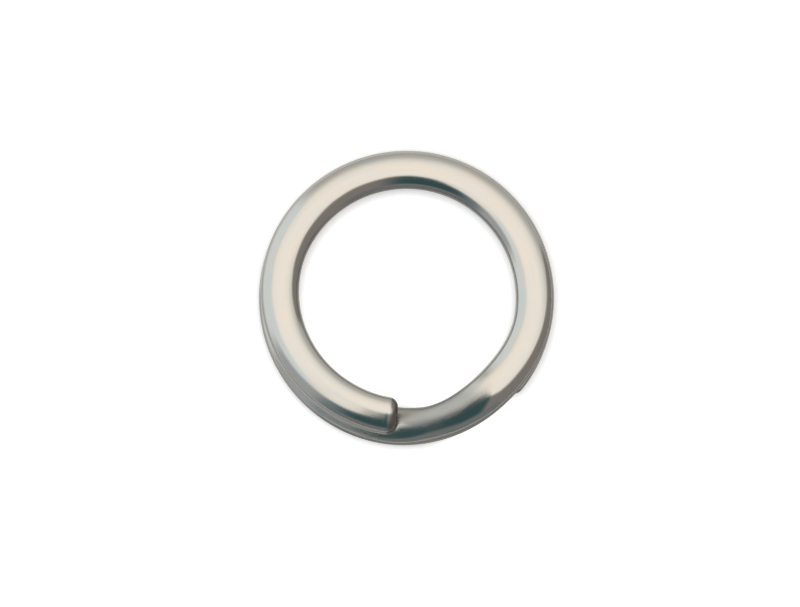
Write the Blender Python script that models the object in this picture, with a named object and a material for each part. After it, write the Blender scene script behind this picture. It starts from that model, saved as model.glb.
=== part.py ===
"""Split ring: one oval wire wound into two flat turns, one lying on the other.

A crank takes the wire down from the upper turn to the lower one. The two cut
ends lie against the turns, so a key can be worked in between them.
Sizes are in millimetres and angles in degrees. An angle is measured about the
ring's axis from its lowest point in plan (-Y), and grows towards +X. Travel is
the number of degrees that the wire has wound since its upper cut end.
"""

import math

import bmesh
import bpy

METRES = 0.001

# The ring and its wire
OUTER_DIAMETER = 25.0
WIRE_WIDTH = 3.25
WIRE_THICKNESS = 1.75
CROWN_FLAT = 0.44
TURN_GAP = 0.05

# The crank that joins the two turns. Its foot is on the lower turn and its
# head on the upper one. The bending leaves the wire's crown leaning outwards,
# and the wire inside the circle and a little fuller about the head.
CRANK_FOOT_ANGLE = -2.0
CRANK_LENGTH = 8.9
CRANK_BEND_LENGTH = 2.4
CRANK_HEAD_INSET = 0.32
CRANK_HEAD_SWELL_SHARE = 0.05
CRANK_HEAD_REACH = 7.2
CRANK_LEAN_ANGLE = 22.0
CRANK_LEAN_FROM_FOOT = 2.6
CRANK_LEAN_REACH_DOWN = 5.0
CRANK_LEAN_REACH_UP = 7.6

# The upper cut end. It rides up on the foot of the crank, inside the circle.
UPPER_END_SETBACK = 0.45
UPPER_END_INSET = 0.8
UPPER_END_INSET_SPAN_ANGLE = 100.0
UPPER_END_LEAN_ANGLE = 9.0
UPPER_END_LEAN_SPAN_ANGLE = 75.0
UPPER_END_LIFT = 0.1
UPPER_END_STRAIGHT_ANGLE = 16.0

# The lower cut end, and the rounding of both
LOWER_END_SETBACK = 0.4
END_ROUNDING = 1.0
END_FACE_SHARE = 0.5

# How finely the curved wire is divided
STATION_ANGLE = 4.0
SECTION_STEPS = 5
ROUNDING_STEPS = 4
SHARP_ANGLE = 60.0

# Polished nickel plate
NICKEL_COLOUR = (0.66, 0.62, 0.57, 1.0)
NICKEL_ROUGHNESS = 0.12

# The wire's centre line, and the half ellipses at the sides of its section
wire_radius = (OUTER_DIAMETER - WIRE_WIDTH) / 2
level_step = WIRE_THICKNESS + TURN_GAP
side_reach = (WIRE_WIDTH - CROWN_FLAT) / 2
side_rise = WIRE_THICKNESS / 2

# Degrees of winding from the upper end to the crank and on to the lower end
crank_sweep = math.degrees(CRANK_LENGTH / wire_radius)
travel_to_foot = 360 - math.degrees(UPPER_END_SETBACK / wire_radius)
travel_to_head = travel_to_foot - crank_sweep
whole_travel = travel_to_head + 360 - math.degrees(LOWER_END_SETBACK / wire_radius)


def clear_scene():
    """Remove whatever objects the file holds."""
    for old_object in list(bpy.data.objects):
        bpy.data.objects.remove(old_object)


def new_collection(name):
    """Make a collection under the scene."""
    collection = bpy.data.collections.new(name)
    bpy.context.scene.collection.children.link(collection)
    return collection


def nickel_material():
    """Bright nickel plate on steel."""
    material = bpy.data.materials.new("polished_nickel")
    material.use_nodes = True
    shader = material.node_tree.nodes["Principled BSDF"]
    shader.inputs["Base Color"].default_value = NICKEL_COLOUR
    shader.inputs["Metallic"].default_value = 1.0
    shader.inputs["Roughness"].default_value = NICKEL_ROUGHNESS
    return material


def ease(share):
    """A smooth rise from 0 to 1, level at both ends."""
    share = min(max(share, 0.0), 1.0)
    return share * share * (3 - 2 * share)


def fade(distance, reach):
    """1 at no distance, and a smooth fall to 0 at the reach."""
    return 1 - ease(distance / reach)


def crank_rise(share):
    """A straight slope from 0 to 1 that bends into the level at each end."""
    bend = min(CRANK_BEND_LENGTH / CRANK_LENGTH, 0.5)
    slope = 1 / (1 - bend)
    share = min(max(share, 0.0), 1.0)
    if share < bend:
        return slope * share * share / (2 * bend)
    if share > 1 - bend:
        return 1 - slope * (1 - share) ** 2 / (2 * bend)
    return slope * (share - bend / 2)


def length_above_foot(travel):
    """Length of wire from the crank's foot up to a place, below 0 past the foot."""
    return math.radians(travel_to_foot - travel) * wire_radius


def nearness_to_head(travel):
    """1 at the crank's head, and 0 out of its reach."""
    return fade(abs(length_above_foot(travel) - CRANK_LENGTH), CRANK_HEAD_REACH)


def inset_at(travel):
    """How far the wire's centre lies inside the true circle."""
    at_end = UPPER_END_INSET * fade(travel - UPPER_END_STRAIGHT_ANGLE, UPPER_END_INSET_SPAN_ANGLE)
    return at_end + CRANK_HEAD_INSET * nearness_to_head(travel)


def fullness_at(travel):
    """The wire's size beside its plain section."""
    return 1 + CRANK_HEAD_SWELL_SHARE * nearness_to_head(travel)


def lean_at(travel):
    """How many degrees the wire's crown leans outwards."""
    above_fullest = length_above_foot(travel) - CRANK_LEAN_FROM_FOOT
    reach = CRANK_LEAN_REACH_UP if above_fullest > 0 else CRANK_LEAN_REACH_DOWN
    at_end = UPPER_END_LEAN_ANGLE * fade(travel - UPPER_END_STRAIGHT_ANGLE, UPPER_END_LEAN_SPAN_ANGLE)
    return at_end + CRANK_LEAN_ANGLE * fade(abs(above_fullest), reach)


def half_height_at(travel):
    """Half the height of the wire, as it leans there."""
    lean = math.radians(lean_at(travel))
    side = math.hypot(side_rise * math.cos(lean), side_reach * math.sin(lean))
    return fullness_at(travel) * (side + CROWN_FLAT / 2 * math.sin(lean))


def underside_at(travel):
    """Height of the lowest point of the wire's section."""
    rise = level_step * crank_rise(length_above_foot(travel) / CRANK_LENGTH)
    return rise + UPPER_END_LIFT * fade(travel, UPPER_END_LEAN_SPAN_ANGLE)


def wire_point(travel):
    """A point of the wire's centre line, in metres."""
    angle = math.radians(CRANK_FOOT_ANGLE + travel_to_foot - travel)
    radius = wire_radius - inset_at(travel)
    return (
        radius * math.sin(angle) * METRES,
        -radius * math.cos(angle) * METRES,
        (underside_at(travel) + half_height_at(travel)) * METRES,
    )


def stations():
    """Each place that gets a section: its travel, and its size beside the full section."""
    rounding_sweep = math.degrees(END_ROUNDING / wire_radius)
    opening = []
    for step in range(ROUNDING_STEPS):
        turn = math.radians(90 * step / ROUNDING_STEPS)
        size = END_FACE_SHARE + (1 - END_FACE_SHARE) * math.sin(turn)
        opening.append((rounding_sweep * (1 - math.cos(turn)), size))
    plain_sweep = whole_travel - 2 * rounding_sweep
    spans = round(plain_sweep / STATION_ANGLE)
    middle = [(rounding_sweep + plain_sweep * span / spans, 1) for span in range(spans + 1)]
    closing = [(whole_travel - travel, size) for travel, size in reversed(opening)]
    return opening + middle + closing


def section_points():
    """The oval section: a narrow flat on each crown, and elliptical sides."""
    points = []
    for side in (1, -1):
        for step in range(2 * SECTION_STEPS + 1):
            facing = math.radians(90 * (side - step / SECTION_STEPS))
            place = math.atan2(side_rise * math.sin(facing), side_reach * math.cos(facing))
            across = side * CROWN_FLAT / 2 + side_reach * math.cos(place)
            through = side_rise * math.sin(place)
            points.append((across * METRES, through * METRES))
    return points


def wire_section(collection):
    """The closed outline that is drawn along the wire's centre line."""
    curve = bpy.data.curves.new("wire_section", "CURVE")
    curve.dimensions = "2D"
    curve.fill_mode = "NONE"
    points = section_points()
    spline = curve.splines.new("POLY")
    spline.points.add(len(points) - 1)
    for spline_point, (across, through) in zip(spline.points, points):
        spline_point.co = (across, through, 0, 1)
    spline.use_cyclic_u = True
    section = bpy.data.objects.new("wire_section", curve)
    section.hide_render = True
    section.display_type = "WIRE"
    collection.objects.link(section)
    return section


def wire_curve(collection, section):
    """The wire's centre line with the section drawn along it, open at both ends."""
    curve = bpy.data.curves.new("wire_path", "CURVE")
    curve.dimensions = "3D"
    curve.twist_mode = "Z_UP"
    curve.bevel_mode = "OBJECT"
    curve.bevel_object = section
    places = stations()
    spline = curve.splines.new("POLY")
    spline.points.add(len(places) - 1)
    for spline_point, (travel, size) in zip(spline.points, places):
        spline_point.co = (*wire_point(travel), 1)
        spline_point.radius = size * fullness_at(travel)
        spline_point.tilt = -math.radians(lean_at(travel))
    wire = bpy.data.objects.new("wire_path", curve)
    collection.objects.link(wire)
    return wire


def close_ends(mesh):
    """Close each cut end with one flat face."""
    work = bmesh.new()
    work.from_mesh(mesh)
    bmesh.ops.holes_fill(work, edges=[edge for edge in work.edges if edge.is_boundary])
    work.to_mesh(mesh)
    work.free()


def split_ring(collection, wire):
    """The whole ring as one closed solid."""
    drawn_wire = wire.evaluated_get(bpy.context.evaluated_depsgraph_get())
    mesh = bpy.data.meshes.new_from_object(drawn_wire)
    mesh.name = "split_ring"
    close_ends(mesh)
    mesh.shade_smooth()
    mesh.set_sharp_from_angle(angle=math.radians(SHARP_ANGLE))
    mesh.materials.clear()
    mesh.materials.append(nickel_material())
    ring = bpy.data.objects.new("split_ring", mesh)
    ring.matrix_world = wire.matrix_world
    collection.objects.link(ring)
    bpy.data.objects.remove(wire)
    return ring


clear_scene()
guides = new_collection("guides")
parts = new_collection("split_ring")
section = wire_section(guides)
split_ring(parts, wire_curve(guides, section))
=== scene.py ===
# %% [markdown]
# # A split ring in bright nickel
#
# A split ring is one length of flattened wire, wound into two turns that lie on each other.
# The construction model has its true sizes already. This notebook gives it the looks: a finer
# wire, a nickel finish with the marks of its making, and a small studio for it to reflect.
#
# The first cell loads the construction model. Blender works in metres and a maker of rings thinks in
# millimetres, so METRES takes one to the other.

# %% Load the construction model
import math

import bmesh
import bpy
import numpy as np
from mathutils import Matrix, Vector
from mathutils.bvhtree import BVHTree


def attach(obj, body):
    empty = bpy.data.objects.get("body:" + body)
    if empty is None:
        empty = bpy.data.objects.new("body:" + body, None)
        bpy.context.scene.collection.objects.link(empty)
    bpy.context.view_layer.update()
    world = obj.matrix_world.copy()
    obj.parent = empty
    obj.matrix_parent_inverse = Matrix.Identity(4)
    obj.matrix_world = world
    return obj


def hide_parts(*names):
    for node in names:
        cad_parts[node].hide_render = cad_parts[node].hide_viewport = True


METRES = 0.001

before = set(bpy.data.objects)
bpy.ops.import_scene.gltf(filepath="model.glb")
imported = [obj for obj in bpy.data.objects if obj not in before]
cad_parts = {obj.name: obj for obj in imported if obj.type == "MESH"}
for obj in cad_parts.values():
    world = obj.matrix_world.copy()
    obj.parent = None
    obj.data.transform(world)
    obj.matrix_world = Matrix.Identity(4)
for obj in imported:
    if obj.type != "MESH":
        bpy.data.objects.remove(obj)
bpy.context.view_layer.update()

# %% [markdown]
# ## The sizes of the ring
#
# Two sizes can be measured on the loaded model: how far the wire reaches from the ring's axis,
# and how tall the ring is. The wire's own width and thickness are written here, because the
# turns overlap in the model and hide them.

# %% Measure the ring and name the wire's sizes
ring_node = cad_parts["split_ring"]
ring_points = np.array([corner.co for corner in ring_node.data.vertices]) / METRES
outer_radius = np.hypot(ring_points[:, 0], ring_points[:, 1]).max()
ring_height = ring_points[:, 2].max()
print(f"outer radius {outer_radius:.3f} mm, height {ring_height:.3f} mm")

WIRE_WIDTH = 3.25
WIRE_THICKNESS = 1.75
CROWN_FLAT = 0.44
TURN_GAP = 0.05

wire_radius = outer_radius - WIRE_WIDTH / 2
level_step = WIRE_THICKNESS + TURN_GAP
side_reach = (WIRE_WIDTH - CROWN_FLAT) / 2
side_rise = WIRE_THICKNESS / 2
print(f"the wire's middle runs {wire_radius:.3f} mm from the axis")

# %% [markdown]
# ## The crank
#
# The crank is the short stretch where the wire steps down from the upper turn to the lower one.
# Its head is on the upper turn and its foot on the lower one. One soft wave would be simpler to
# write, but a pressing tool leaves a straight slope with a bend at each end, and polished wire
# shows the difference.
#
# A place on the wire is given by its travel, the number of degrees wound since the upper cut
# end. The helpers take a whole array of places at once.

# %% The crank's rise
CRANK_FOOT_ANGLE = -2.0
CRANK_LENGTH = 8.9
CRANK_BEND_LENGTH = 2.4
UPPER_END_SETBACK = 0.45
LOWER_END_SETBACK = 0.4

crank_sweep = math.degrees(CRANK_LENGTH / wire_radius)
travel_to_foot = 360 - math.degrees(UPPER_END_SETBACK / wire_radius)
travel_to_head = travel_to_foot - crank_sweep
whole_travel = travel_to_head + 360 - math.degrees(LOWER_END_SETBACK / wire_radius)
print(f"the wire winds through {whole_travel:.1f} degrees, {crank_sweep:.1f} of them in the crank")


def crank_rise(share):
    """A straight slope from 0 to 1 that bends into the level at each end."""
    bend = min(CRANK_BEND_LENGTH / CRANK_LENGTH, 0.5)
    slope = 1 / (1 - bend)
    share = np.clip(share, 0.0, 1.0)
    low_bend = slope * share**2 / (2 * bend)
    high_bend = 1 - slope * (1 - share) ** 2 / (2 * bend)
    straight = slope * (share - bend / 2)
    return np.where(share < bend, low_bend, np.where(share > 1 - bend, high_bend, straight))


def length_above_foot(travel):
    """Length of wire from the crank's foot up to a place, below 0 past the foot."""
    return np.radians(travel_to_foot - travel) * wire_radius


# %% [markdown]
# ## How the wire lies in its turns
#
# A bent wire is no perfect circle. The crank's crown leans outwards, and about the crank's head
# the wire lies a little inside the circle and is slightly fuller. The upper cut end lies inside
# the circle too, and leans. Each of these fades out smoothly from its fullest place, because a
# polished wire shows every kink.

# %% The wire's inset, fullness and lean
CRANK_HEAD_INSET = 0.32
CRANK_HEAD_SWELL_SHARE = 0.05
CRANK_HEAD_REACH = 7.2
CRANK_LEAN_ANGLE = 22.0
CRANK_LEAN_FROM_FOOT = 2.6
CRANK_LEAN_REACH_DOWN = 5.0
CRANK_LEAN_REACH_UP = 7.6

UPPER_END_INSET = 0.8
UPPER_END_INSET_SPAN_ANGLE = 100.0
UPPER_END_LEAN_ANGLE = 9.0
UPPER_END_LEAN_SPAN_ANGLE = 75.0
UPPER_END_STRAIGHT_ANGLE = 16.0


def ease(share):
    """A smooth rise from 0 to 1, level at both ends."""
    share = np.clip(share, 0.0, 1.0)
    return share * share * (3 - 2 * share)


def fade(distance, reach):
    """1 at no distance, and a smooth fall to 0 at the reach."""
    return 1 - ease(distance / reach)


def nearness_to_head(travel):
    """1 at the crank's head, and 0 out of its reach."""
    return fade(np.abs(length_above_foot(travel) - CRANK_LENGTH), CRANK_HEAD_REACH)


def inset_at(travel):
    """How far the wire's centre lies inside the true circle, in millimetres."""
    at_end = UPPER_END_INSET * fade(travel - UPPER_END_STRAIGHT_ANGLE, UPPER_END_INSET_SPAN_ANGLE)
    return at_end + CRANK_HEAD_INSET * nearness_to_head(travel)


def fullness_at(travel):
    """The wire's size beside its plain section."""
    return 1 + CRANK_HEAD_SWELL_SHARE * nearness_to_head(travel)


def lean_at(travel):
    """How far the wire's crown leans outwards, in degrees."""
    above_fullest = length_above_foot(travel) - CRANK_LEAN_FROM_FOOT
    reach = np.where(above_fullest > 0, CRANK_LEAN_REACH_UP, CRANK_LEAN_REACH_DOWN)
    at_end = UPPER_END_LEAN_ANGLE * fade(travel - UPPER_END_STRAIGHT_ANGLE, UPPER_END_LEAN_SPAN_ANGLE)
    return at_end + CRANK_LEAN_ANGLE * fade(np.abs(above_fullest), reach)


each_degree = np.arange(whole_travel)
print(f"the wire leans by up to {lean_at(each_degree).max():.1f} degrees")
print(f"its middle lies up to {inset_at(each_degree).max():.2f} mm inside the circle")

# %% [markdown]
# ## The line that the wire follows
#
# The line could be drawn by hand as a curve, but a rule is better here, because the real ring
# follows one: a circle at the upper level, the crank, and the same circle one wire lower. The
# turns rest on each other, so the rule gives the wire's underside. Its middle lies half a height
# above that, and a wire that leans is taller.
#
# Two directions go with each place, across the wire and up through it. They will carry the
# section.

# %% The centre line and its directions
UPPER_END_LIFT = 0.1
LOOK_AHEAD_ANGLE = 0.1


def half_height_at(travel):
    """Half the height of the wire, as it leans there."""
    lean = np.radians(lean_at(travel))
    side = np.hypot(side_rise * np.cos(lean), side_reach * np.sin(lean))
    return fullness_at(travel) * (side + CROWN_FLAT / 2 * np.sin(lean))


def centre_line(travel):
    """Points of the wire's centre line, in millimetres."""
    angle = np.radians(CRANK_FOOT_ANGLE + travel_to_foot - travel)
    radius = wire_radius - inset_at(travel)
    rise = level_step * crank_rise((travel_to_foot - travel) / crank_sweep)
    underside = rise + UPPER_END_LIFT * fade(travel, UPPER_END_LEAN_SPAN_ANGLE)
    height = underside + half_height_at(travel)
    return np.stack([radius * np.sin(angle), -radius * np.cos(angle), height], axis=1)


def directions(travel):
    """Unit vectors across the wire, towards the ring's middle, and up through it."""
    along = centre_line(travel + LOOK_AHEAD_ANGLE) - centre_line(travel - LOOK_AHEAD_ANGLE)
    along /= np.linalg.norm(along, axis=1)[:, None]
    level_across = np.cross(along, (0.0, 0.0, 1.0))
    level_across /= np.linalg.norm(level_across, axis=1)[:, None]
    level_up = np.cross(level_across, along)
    lean = np.radians(lean_at(travel))[:, None]
    across = level_across * np.cos(lean) + level_up * np.sin(lean)
    return across, level_up * np.cos(lean) - level_across * np.sin(lean)


crank_steps = np.diff(centre_line(np.arange(travel_to_head, travel_to_foot)), axis=0)
crank_slopes = np.arctan2(np.abs(crank_steps[:, 2]), np.hypot(crank_steps[:, 0], crank_steps[:, 1]))
print(f"the wire's middle slopes by up to {math.degrees(crank_slopes.max()):.1f} degrees in the crank")

# %% [markdown]
# ## The wire's section
#
# Round wire that has been rolled flat keeps round sides and gets a narrow flat on each face. Seen
# across, it is a half ellipse, a short flat, and a half ellipse. The points are spaced by the way
# that the surface faces, not by distance, so the tight sides get as many points as the reflections
# need and the flats get none to spare.

# %% The section's outline
SIDE_STEPS = 48


def section_outline():
    """The section's points, in millimetres across the wire and up through it."""
    points = []
    for side in (1, -1):
        facing = np.radians(90 * side - np.linspace(0, 180, SIDE_STEPS + 1))
        place = np.arctan2(side_rise * np.sin(facing), side_reach * np.cos(facing))
        across = side * CROWN_FLAT / 2 + side_reach * np.cos(place)
        through = side_rise * np.sin(place)
        points.append(np.stack([across, through], axis=1))
    return np.concatenate(points)


outline = section_outline()
print(f"{len(outline)} points round the section")

# %% [markdown]
# ## Where the rings of points go
#
# The section is set at one place after another along the wire, and each time it gives a ring of
# points. A cut end is rounded by making the last rings smaller along a quarter circle, down to
# the flat that the shear left.

# %% Place the rings along the wire
DEGREES_PER_RING = 1.0
END_ROUNDING = 1.0
END_FACE_SHARE = 0.5
ROUNDING_RINGS = 12


def ring_places():
    """For each ring of points: its travel in degrees, and its size as a share of the section."""
    rounding_sweep = math.degrees(END_ROUNDING / wire_radius)
    turn = np.radians(np.linspace(90, 0, ROUNDING_RINGS + 1))
    past_start = rounding_sweep * (1 - np.sin(turn))
    end_size = END_FACE_SHARE + (1 - END_FACE_SHARE) * np.cos(turn)
    spans = round((whole_travel - 2 * rounding_sweep) / DEGREES_PER_RING)
    middle = np.linspace(rounding_sweep, whole_travel - rounding_sweep, spans + 1)[1:-1]
    travel = np.concatenate([past_start, middle, whole_travel - past_start[::-1]])
    size = np.concatenate([end_size, np.ones(len(middle)), end_size[::-1]])
    return travel, size


ring_travel, ring_size = ring_places()
print(f"{len(ring_travel)} rings")

# %% [markdown]
# ## Sweep the section along the line
#
# A curve object with a bevel profile would sweep the section too, as the construction model does.
# Here the rings of points are placed in code instead, for two reasons: the cut ends can be rounded
# ring by ring, and each point can carry its own place on the wire for the finish to use later.

# %% Sweep the section
def sweep_wire():
    """The rings of points, and each point's place: along the wire, across it, up through it."""
    centre = centre_line(ring_travel)
    across, up = directions(ring_travel)
    sections = (ring_size * fullness_at(ring_travel))[:, None, None] * outline
    points = (
        centre[:, None, :]
        + sections[..., :1] * across[:, None, :]
        + sections[..., 1:] * up[:, None, :]
    )
    length = np.concatenate([[0], np.cumsum(np.linalg.norm(np.diff(centre, axis=0), axis=1))])
    places = np.concatenate([np.repeat(length, len(outline))[:, None], sections.reshape(-1, 2)], axis=1)
    return points, places


swept_points, wire_places = sweep_wire()
print(f"{wire_places[-1, 0]:.1f} mm of wire")

# %% [markdown]
# ## Skin the rings
#
# The rings become faces: a strip of quads from each ring to the next, and a fan of triangles on
# each cut end. Smooth shading hides the facets everywhere but at the sharp edge of a cut.
#
# The finished piece rides on the ring's body and takes the place of the solid.

# %% Make the mesh
SHARP_ANGLE = 40.0


def wire_mesh():
    """The wire as a mesh object in metres."""
    count = len(outline)
    work = bmesh.new()
    corners = [[work.verts.new(point * METRES) for point in ring] for ring in swept_points]
    for first, second in zip(corners, corners[1:]):
        for index in range(count):
            after = (index + 1) % count
            work.faces.new((first[index], first[after], second[after], second[index]))
    for ring, inwards in ((corners[0], True), (corners[-1], False)):
        middle = work.verts.new(sum((corner.co for corner in ring), Vector()) / count)
        for index in range(count):
            pair = (ring[index], ring[(index + 1) % count])
            work.faces.new((middle, *(reversed(pair) if inwards else pair)))
    bmesh.ops.recalc_face_normals(work, faces=work.faces)
    mesh = bpy.data.meshes.new("split_ring_wire")
    work.to_mesh(mesh)
    work.free()
    mesh.shade_smooth()
    mesh.set_sharp_from_angle(angle=math.radians(SHARP_ANGLE))
    return bpy.data.objects.new("split_ring_wire", mesh)


wire = wire_mesh()
bpy.context.scene.collection.objects.link(wire)
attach(wire, "root")
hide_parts("split_ring")
triangles = sum(len(face.vertices) - 2 for face in wire.data.polygons)
print(f"{len(wire.data.polygons)} faces, {triangles} triangles")

# %% [markdown]
# ## Compare it with the construction model
#
# The finer wire has to keep the form of the solid that it stands for. A search tree gives the
# nearest point of the solid for each point of the wire, so the largest distance can be printed.

# %% Measure how far the wire departs from the solid
solid_tree = BVHTree.FromPolygons(
    [corner.co for corner in ring_node.data.vertices],
    [face.vertices for face in ring_node.data.polygons],
)
departures = [solid_tree.find_nearest(corner.co)[3] for corner in wire.data.vertices]
print(f"the wire departs by {max(departures) / METRES:.3f} mm at most from the solid")

# %% [markdown]
# ## Where each point lies on the wire
#
# The finish needs to know where on the wire a point lies. That is a fact about the point, so it
# is stored on the point as an attribute, which the material can read. The fan on each cut end
# adds one point in the middle of the end, after all the others.

# %% Store each point's place
def store(mesh, name, kind, values):
    """Keep one fact for each point of the mesh."""
    attribute = mesh.attributes.new(name, kind, "POINT")
    field = "vector" if kind == "FLOAT_VECTOR" else "value"
    attribute.data.foreach_set(field, np.asarray(values, dtype=np.float32).ravel())


end_places = np.array([[0, 0, 0], [wire_places[-1, 0], 0, 0]])
all_places = np.concatenate([wire_places, end_places])
store(wire.data, "wire_place", "FLOAT_VECTOR", all_places)
print(f"{len(all_places)} points have their place")

# %% [markdown]
# ## Where the wire was worked
#
# Two marks come from work. The tool that presses the crank rubs the inner half of the wire. The
# upper cut end scuffs the outer shoulder of the lower turn each time that a key is worked in.
# Painting them by hand would do, but a rule in millimetres of wire puts them where the tool and
# the cut end really touch.

# %% Store the pressed crank and the scuffed shoulder
CRANK_PRESS_LENGTH = 6.0
CRANK_PRESS_FADE = 2.4
CRANK_PRESS_SLANT = 1.0
SCUFF_MIDDLE = 4.4
SCUFF_REACH = 5.0
MARK_FADE = 0.5

point_travel = np.concatenate([np.repeat(ring_travel, len(outline)), [0, whole_travel]])
inwards = all_places[:, 1]
above_foot = length_above_foot(point_travel)
along_crank = above_foot + CRANK_PRESS_SLANT * inwards
past_press = np.abs(along_crank - CRANK_LENGTH / 2) - CRANK_PRESS_LENGTH / 2
pressed = fade(past_press, CRANK_PRESS_FADE) * ease(inwards / MARK_FADE)
store(wire.data, "pressed", "FLOAT", pressed)

scuffed = fade(np.abs(above_foot + SCUFF_MIDDLE), SCUFF_REACH) * ease(-inwards / MARK_FADE)
store(wire.data, "scuffed", "FLOAT", scuffed)
print(f"{np.mean(pressed > 0.5):.1%} of the points are pressed, {np.mean(scuffed > 0.5):.1%} scuffed")

# %% [markdown]
# ## Painted shade on the flanks and the cuts
#
# The way that a point faces sets the painted shade in its colour and how rough it is. The flanks
# get the most, and those that face the upper left get less, as where light falls on them. The
# rounded cuts get painted shade too, apart from their tops. A point that faces straight up or down
# has 1 in "level", and a point on the side 0.

# %% Store the painted shade of the flanks and the cut faces
FLANK_START = 0.78
FLANK_FADE = 0.14
FLANK_SHADE_AND_DULLNESS = 0.66
LIGHTER_FLANK_SIDE = (-0.45, 0.89)
LIGHTER_FLANK_SHARE = 0.2
CUT_SIZE_FADE = 0.04
CUT_LEVEL_FADE = 0.06

facing = np.array([tuple(corner.normal) for corner in wire.data.vertices])
level = np.abs(facing[:, 2])
flank = ease((FLANK_START - level) / FLANK_FADE)
# Painted shade: the flanks get a darker colour, less on the side that faces the light; the same mask
# raises their roughness.
flank_shade_and_dullness = FLANK_SHADE_AND_DULLNESS - LIGHTER_FLANK_SHARE * (facing[:, :2] @ np.array(LIGHTER_FLANK_SIDE))
store(wire.data, "flank", "FLOAT", flank * flank_shade_and_dullness)

point_size = np.concatenate([np.repeat(ring_size, len(outline)), [END_FACE_SHARE] * 2])
# Painted shade: the rounded cut ends get a darker colour where they face sideways, and stay light on
# their tops.
cut_face = ease((1 - point_size) / CUT_SIZE_FADE) * ease((1 - level) / CUT_LEVEL_FADE)
store(wire.data, "cut_face", "FLOAT", cut_face)
print(f"{np.mean(flank > 0.5):.1%} of the points are on a flank, {np.mean(cut_face > 0.5):.1%} on a cut")

# %% [markdown]
# ## Bright nickel
#
# Bright nickel plate is a mirror with a warm cast, a little softer than chrome. Under the plate is
# drawn wire, so faint lines run along it, and the reflections waver slightly where the wire was
# wound. Noise that is stretched along the wire makes the lines: the stored place is multiplied by
# a small number along the wire and by larger ones across it.
#
# A material is a small network of nodes. These helpers each add the nodes for one job, so that
# the finish can be written as a list of such jobs.

# %% Start a material, and read what is stored
def new_material(name):
    """An empty node material: its nodes, its links and its output."""
    material = bpy.data.materials.new(name)
    material.use_nodes = True
    nodes = material.node_tree.nodes
    nodes.clear()
    output = nodes.new("ShaderNodeOutputMaterial")
    return material, nodes, material.node_tree.links, output


def stored(nodes, name, output="Fac"):
    """One fact that is stored on the points."""
    reader = nodes.new("ShaderNodeAttribute")
    reader.attribute_name = name
    return reader.outputs[output]


# %% [markdown]
# ### Noise, ranges and sums
#
# Noise comes as a value that mostly lies between 0.3 and 0.7. A map range node takes that to the
# values that are wanted, and math nodes join it to the stored facts. Setting these nodes up by
# hand takes several lines each time, so each kind has its helper.

# %% Helpers for noise, ranges and sums
NOISE_RANGE = (0.3, 0.7)


def stretched_noise(nodes, links, stretch, detail, roughness):
    """Noise that is stretched along the wire. Stretch gives its fineness in each direction."""
    scaled = nodes.new("ShaderNodeVectorMath")
    scaled.operation = "MULTIPLY"
    scaled.inputs[1].default_value = stretch
    links.new(stored(nodes, "wire_place", "Vector"), scaled.inputs[0])
    noise = nodes.new("ShaderNodeTexNoise")
    noise.inputs["Scale"].default_value = 1.0
    noise.inputs["Detail"].default_value = detail
    noise.inputs["Roughness"].default_value = roughness
    links.new(scaled.outputs["Vector"], noise.inputs["Vector"])
    return noise.outputs["Fac"]


def ranged(nodes, links, value, source, target):
    """The value, taken from its source range to a target range and kept inside that."""
    spread = nodes.new("ShaderNodeMapRange")
    spread.inputs["From Min"].default_value = source[0]
    spread.inputs["From Max"].default_value = source[1]
    spread.inputs["To Min"].default_value = target[0]
    spread.inputs["To Max"].default_value = target[1]
    links.new(value, spread.inputs["Value"])
    return spread.outputs["Result"]


def worked(nodes, links, operation, *values):
    """The outcome of one sum on its values, which can be sockets or numbers."""
    step = nodes.new("ShaderNodeMath")
    step.operation = operation
    for socket, value in zip(step.inputs, values):
        if isinstance(value, (int, float)):
            socket.default_value = value
        else:
            links.new(value, socket)
    return step.outputs["Value"]


# %% [markdown]
# ### The colour of the plate
#
# Plate is never one even colour. A haze takes it from a cooler nickel to a warmer one and back.
# The stored facts are masks from 0 to 1: where the flank, the pressed crank or the cut is high,
# the colour gets darker. On the flanks and the cuts that is painted shade; on the pressed crank
# it is the wear of the tool.

# %% The plate's colour
COOL_NICKEL = (0.640, 0.630, 0.600, 1.0)
WARM_NICKEL = (0.690, 0.640, 0.570, 1.0)
HAZE_FINENESS = (0.25, 1.6, 1.6)
HAZE_RANGE = (0.35, 0.65)
PRESSED_TONE = 0.74
CUT_SHADE_TONE = 0.4


def plate_colour(nodes, links):
    """Nickel between cool and warm, darker with painted shade on the flanks and cuts, and where pressed.
    """
    haze = stretched_noise(nodes, links, HAZE_FINENESS, detail=4.0, roughness=0.6)
    tint = nodes.new("ShaderNodeMix")
    tint.data_type = "RGBA"
    tint.inputs["A"].default_value = COOL_NICKEL
    tint.inputs["B"].default_value = WARM_NICKEL
    links.new(ranged(nodes, links, haze, HAZE_RANGE, (0.0, 1.0)), tint.inputs["Factor"])

    # Painted shade on the flanks and the cut ends darkens the colour here; the pressed crank's darkening
    # is tool wear.
    tone = worked(nodes, links, "SUBTRACT", 1.0, stored(nodes, "flank"))
    for name, darkest in (("pressed", PRESSED_TONE), ("cut_face", CUT_SHADE_TONE)):
        kept = ranged(nodes, links, stored(nodes, name), (0.0, 1.0), (1.0, darkest))
        tone = worked(nodes, links, "MULTIPLY", tone, kept)
    toned = nodes.new("ShaderNodeVectorMath")
    toned.operation = "SCALE"
    links.new(tint.outputs["Result"], toned.inputs["Vector"])
    links.new(tone, toned.inputs["Scale"])
    return toned.outputs["Vector"]


# %% [markdown]
# ### How sharp the plate mirrors
#
# Roughness blurs what a metal mirrors. The drawn lines vary it a little all along the wire. The
# pressed and scuffed places get the blotchy marks of rubbing on top, and the flanks and the cuts
# are softer still, by the same masks that carry their painted shade.

# %% The plate's softness
CROWN_SOFTNESS = (0.09, 0.15)
RUB_SOFTNESS = (0.16, 0.34)
RUB_FINENESS = (0.9, 7.0, 7.0)
FLANK_SOFTNESS = 0.22
CUT_SOFTNESS = 0.12


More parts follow.
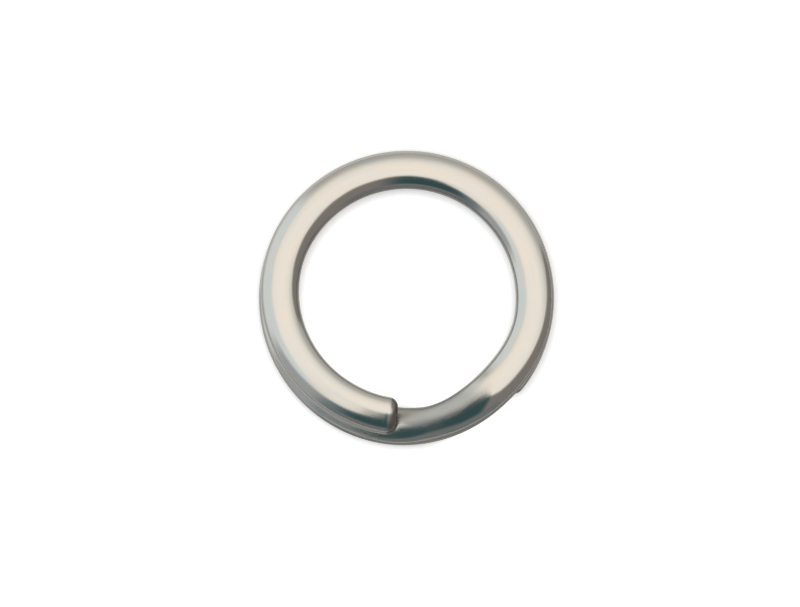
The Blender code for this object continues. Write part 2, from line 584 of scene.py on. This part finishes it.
def plate_softness(nodes, links, draw_lines):
    """Roughness: low on the polished crown, higher where it was rubbed, and on flanks and cuts."""
    softness = ranged(nodes, links, draw_lines, NOISE_RANGE, CROWN_SOFTNESS)
    rub = stretched_noise(nodes, links, RUB_FINENESS, detail=4.0, roughness=0.65)
    blotches = ranged(nodes, links, rub, NOISE_RANGE, RUB_SOFTNESS)
    rubbed = worked(nodes, links, "ADD", stored(nodes, "pressed"), stored(nodes, "scuffed"))
    softness = worked(nodes, links, "MULTIPLY_ADD", rubbed, blotches, softness)
    softness = worked(nodes, links, "MULTIPLY_ADD", stored(nodes, "flank"), FLANK_SOFTNESS, softness)
    return worked(nodes, links, "MULTIPLY_ADD", stored(nodes, "cut_face"), CUT_SOFTNESS, softness)


# %% [markdown]
# ### Fine relief, and the finish as a whole
#
# The drawn lines and the slow waves of the winding are also relief, far too fine to model. The
# cuts add the marks of the shear, which run through the wire. A bump node bends the light as
# that relief would. Its distance is the height of the relief: a thousandth of a millimetre or
# two, because a mirror shows more than any other surface.

# %% The nickel finish
LINE_FINENESS = (0.05, 5.0, 5.0)
WAVE_FINENESS = (0.30, 0.5, 0.5)
SHEAR_FINENESS = (6.0, 9.0, 0.6)
WAVE_SHARE = 12.0
RELIEF_HEIGHT = 0.0015


def plate_relief(nodes, links, draw_lines):
    """The way that the surface faces, with its fine relief."""
    waves = stretched_noise(nodes, links, WAVE_FINENESS, detail=1.0, roughness=0.5)
    shear = stretched_noise(nodes, links, SHEAR_FINENESS, detail=3.0, roughness=0.6)
    heights = worked(nodes, links, "MULTIPLY_ADD", waves, WAVE_SHARE, draw_lines)
    heights = worked(nodes, links, "MULTIPLY_ADD", shear, stored(nodes, "cut_face"), heights)
    bump = nodes.new("ShaderNodeBump")
    bump.inputs["Strength"].default_value = 1.0
    bump.inputs["Distance"].default_value = RELIEF_HEIGHT * METRES
    links.new(heights, bump.inputs["Height"])
    return bump.outputs["Normal"]


def polished_nickel():
    """Bright nickel over drawn wire, duller where it was worked, with painted shade and more roughness
    on flanks and cuts.
    """
    material, nodes, links, output = new_material("polished_nickel")
    shader = nodes.new("ShaderNodeBsdfPrincipled")
    shader.inputs["Metallic"].default_value = 1.0
    draw_lines = stretched_noise(nodes, links, LINE_FINENESS, detail=3.0, roughness=0.6)
    links.new(plate_colour(nodes, links), shader.inputs["Base Color"])
    links.new(plate_softness(nodes, links, draw_lines), shader.inputs["Roughness"])
    links.new(plate_relief(nodes, links, draw_lines), shader.inputs["Normal"])
    links.new(shader.outputs["BSDF"], output.inputs["Surface"])
    return material


wire.data.materials.append(polished_nickel())
print(f"the finish has {len(wire.data.materials[0].node_tree.nodes)} nodes")

# %% [markdown]
# ## The studio
#
# Polished metal has no look of its own: what it shows is the room. A product photographer puts a
# large soft light overhead, pale screens on one side and darker ones on the other, and the wire
# bends all of it into bands that run round the ring. The room's shell is a dome, which holds the
# overhead light and the grey walls. A colour ramp over its height gives both, so one sphere does
# the work of many lamps.

# %% The dome
STUDIO_RADIUS = 0.5
DOME_FOOT = (0.50, 0.52, 0.50, 1.0)
DOME_TOP = (1.22, 1.17, 1.11, 1.0)
DOME_BETWEEN = {
    0.42: (0.54, 0.55, 0.53, 1.0),
    0.64: (0.67, 0.67, 0.64, 1.0),
    0.82: (0.97, 0.95, 0.90, 1.0),
    0.93: (1.14, 1.10, 1.04, 1.0),
}


def dome_material():
    """A glow that goes from pale grey walls to a warm light overhead."""
    material, nodes, links, output = new_material("studio_dome")
    place = nodes.new("ShaderNodeTexCoord")
    apart = nodes.new("ShaderNodeSeparateXYZ")
    links.new(place.outputs["Object"], apart.inputs["Vector"])
    height = worked(nodes, links, "MULTIPLY", apart.outputs["Z"], 1 / STUDIO_RADIUS)
    ramp = nodes.new("ShaderNodeValToRGB")
    tones = ramp.color_ramp.elements
    tones[0].color = DOME_FOOT
    tones[1].color = DOME_TOP
    for share, tone in DOME_BETWEEN.items():
        tones.new(share).color = tone
    links.new(height, ramp.inputs["Fac"])
    light = nodes.new("ShaderNodeEmission")
    links.new(ramp.outputs["Color"], light.inputs["Color"])
    links.new(light.outputs["Emission"], output.inputs["Surface"])
    return material


bpy.ops.mesh.primitive_uv_sphere_add(segments=64, ring_count=32, radius=STUDIO_RADIUS)
dome = bpy.context.object
dome.name = "studio_dome"
dome.data.shade_smooth()
dome.data.materials.append(dome_material())
dome.visible_camera = False
print(f"the dome is {2 * STUDIO_RADIUS:.1f} m across")

# %% [markdown]
# ## Curved screens
#
# The screens stand in front of the dome. Each is a curved sheet that glows with one plain colour.
# A flat card would do for a flat product, but round wire mirrors the whole room, so the sheets
# follow the dome. They fade at the rim, as a cloth screen does when a lamp lights its middle.
# The share that covers what is behind is stored on the sheet's points, and the material reads it.

# %% A screen's glow
def screen_material(name, colour, glow):
    """A screen's plain glow, let through where its cover fades out."""
    material, nodes, links, output = new_material(name)
    light = nodes.new("ShaderNodeEmission")
    light.inputs["Color"].default_value = (*colour, 1.0)
    light.inputs["Strength"].default_value = glow
    clear = nodes.new("ShaderNodeBsdfTransparent")
    mix = nodes.new("ShaderNodeMixShader")
    links.new(stored(nodes, "cover"), mix.inputs["Fac"])
    links.new(clear.outputs["BSDF"], mix.inputs[1])
    links.new(light.outputs["Emission"], mix.inputs[2])
    links.new(mix.outputs["Shader"], output.inputs["Surface"])
    return material


# %% [markdown]
# ### A screen's sheet
#
# The sheet is a grid of points on a sphere, in rows from its upper edge to just below the
# horizon. The upper edge may rise and fall, because its reflection draws the edge of a band on
# the wire. A bent plane could do that too, but in code each point's place is one short sum.

# %% Make a screen's sheet
SCREEN_STEPS = 48
SCREEN_BOTTOM = 95.0


def screen_mesh(name, turned, tops, soft_rim, radius):
    """The curved sheet, with the share that covers what is behind it."""
    turns = np.linspace(*turned, SCREEN_STEPS + 1)
    edge = np.interp(turns, np.linspace(*turned, len(tops)), tops)
    work = bmesh.new()
    grid = []
    cover = []
    for share in np.linspace(0, 1, SCREEN_STEPS + 1):
        row = []
        for turn, top in zip(turns, edge):
            tilt = top + (SCREEN_BOTTOM - top) * share
            outwards = math.sin(math.radians(tilt))
            upwards = math.cos(math.radians(tilt))
            bearing = math.radians(turn)
            way = Vector((outwards * math.sin(bearing), outwards * math.cos(bearing), upwards))
            row.append(work.verts.new(way * radius))
            side = min(turn - turned[0], turned[1] - turn) / soft_rim
            cover.append(float(ease(side) * ease((tilt - top) / soft_rim)))
        grid.append(row)
    for upper, lower in zip(grid, grid[1:]):
        for index in range(SCREEN_STEPS):
            work.faces.new((upper[index], upper[index + 1], lower[index + 1], lower[index]))
    mesh = bpy.data.meshes.new(name)
    work.to_mesh(mesh)
    work.free()
    store(mesh, "cover", "FLOAT", cover)
    mesh.shade_smooth()
    return mesh


# %% [markdown]
# ### Hanging a screen
#
# Where two screens overlap, the nearer one hides the other, so each has a layer, and each layer
# is 3% of the dome's radius nearer to the ring than the last. The screens are hidden from the
# camera, because a photographer keeps them out of the picture too.

# %% Hang a screen
LAYER_SHARE = 0.03


def screen(name, turned, tops, colour, glow, soft_rim, layer):
    """A screen round the ring, hanging down to the horizon and a little past it.

    Turned is where it starts and ends, in degrees clockwise from +Y. Tops are the places of its
    upper edge, evenly spaced along it, in degrees from straight up. Layer 1 is the outermost.
    """
    radius = STUDIO_RADIUS * (1 - LAYER_SHARE * layer)
    mesh = screen_mesh(name, turned, tops, soft_rim, radius)
    mesh.materials.append(screen_material(name, colour, glow))
    sheet = bpy.data.objects.new(name, mesh)
    sheet.visible_camera = False
    bpy.context.scene.collection.objects.link(sheet)
    print(f"{name}: {turned[1] - turned[0]} degrees wide")


# %% [markdown]
# ## The screens' places
#
# A bright scrim and a grey wall are on the left, a blue-grey flag to the lower left, and a warm
# brown wall to the lower right. A dark teal flag stands below the picture, with a lighter wall at
# its foot. That flag draws the dark band at the top of the ring, inside, and the dark stripe in
# the crank.

# %% Set up the screens
screen("left_scrim", (-140, -38), (12, 15, 24, 30), (0.91, 0.99, 1.03), 0.95, 14, 1)
screen("left_wall", (-160, -104), (22, 28, 46), (0.88, 0.96, 1.02), 0.50, 16, 2)
screen("lower_left_flag", (-178, -136), (12, 15, 20, 28, 38), (0.70, 0.92, 1.06), 0.28, 9, 3)
screen("lower_right_wall", (66, 180), (60, 34, 15, 11), (0.99, 0.93, 0.90), 0.27, 9, 4)
screen("below_flag", (164, 216), (10, 6, 11, 36), (0.45, 0.93, 1.02), 0.105, 13, 5)
screen("below_wall", (140, 220), (53, 53), (0.88, 0.97, 1.02), 0.23, 12, 6)

# %% [markdown]
# ## The floor
#
# The ring lies on a plain white sheet. Its own diffuse white is greyer than the paper of a
# catalogue, so a glow is added for what the camera and the metal see, and it is held back close
# to the ring, where real paper is in the ring's shade.

# %% The white sheet
FLOOR_REACH = 3.0
PAPER_WHITE = (0.85, 0.85, 0.85, 1.0)
PAPER_GLOW = 0.75
SHADE_REACH = 1.0
SHADE_SAMPLES = 4


def white_paper():
    """Pale paper that glows for the camera and the metal, and keeps the ring's shadow."""
    material, nodes, links, output = new_material("white_sheet")
    paper = nodes.new("ShaderNodeBsdfDiffuse")
    paper.inputs["Color"].default_value = PAPER_WHITE
    rays = nodes.new("ShaderNodeLightPath")
    seen = rays.outputs["Is Camera Ray"]
    for kind in ("Is Glossy Ray", "Is Transmission Ray"):
        seen = worked(nodes, links, "MAXIMUM", seen, rays.outputs[kind])
    shade = nodes.new("ShaderNodeAmbientOcclusion")
    shade.inputs["Distance"].default_value = SHADE_REACH * METRES
    shade.samples = SHADE_SAMPLES
    strength = worked(nodes, links, "MULTIPLY", seen, shade.outputs["AO"])
    glow = nodes.new("ShaderNodeEmission")
    links.new(worked(nodes, links, "MULTIPLY", strength, PAPER_GLOW), glow.inputs["Strength"])
    both = nodes.new("ShaderNodeAddShader")
    links.new(paper.outputs["BSDF"], both.inputs[0])
    links.new(glow.outputs["Emission"], both.inputs[1])
    links.new(both.outputs["Shader"], output.inputs["Surface"])
    return material


bpy.ops.mesh.primitive_plane_add(size=2 * FLOOR_REACH)
floor = bpy.context.object
floor.name = "white_sheet"
floor.data.materials.append(white_paper())
print(f"the sheet reaches {FLOOR_REACH:.0f} m each way")

# %% [markdown]
# ## The room behind it all
#
# The dome and the screens are hidden from the camera, so what it sees beyond the sheet is the
# world. A backdrop would do as well, but a plain white world is simpler and looks the same from
# every side.

# %% The world
world = bpy.data.worlds.new("white_room")
world.use_nodes = True
world.node_tree.nodes["Background"].inputs["Color"].default_value = (1.0, 1.0, 1.0, 1.0)
world.node_tree.nodes["Background"].inputs["Strength"].default_value = 1.0
bpy.context.scene.world = world

# %% [markdown]
# ## The camera
#
# The picture looks straight down with a long lens, so both sides of the ring look alike. The lens
# is worked out from how wide the picture is at the ring.

# %% Place the camera
PICTURE_WIDTH = 0.06776
CAMERA_HEIGHT = 1.4
VIEW_OFFSET = (-0.00054, -0.00045)
SENSOR_WIDTH = 36.0

camera_data = bpy.data.cameras.new("camera")
camera_data.sensor_width = SENSOR_WIDTH
camera_data.lens = SENSOR_WIDTH * CAMERA_HEIGHT / PICTURE_WIDTH
camera_data.clip_end = 10.0
camera = bpy.data.objects.new("camera", camera_data)
camera.location = (*VIEW_OFFSET, CAMERA_HEIGHT + ring_height / 2 * METRES)
bpy.context.scene.collection.objects.link(camera)
bpy.context.scene.camera = camera
bpy.context.scene.view_settings.view_transform = "Standard"
print(f"lens {camera_data.lens:.0f} mm")
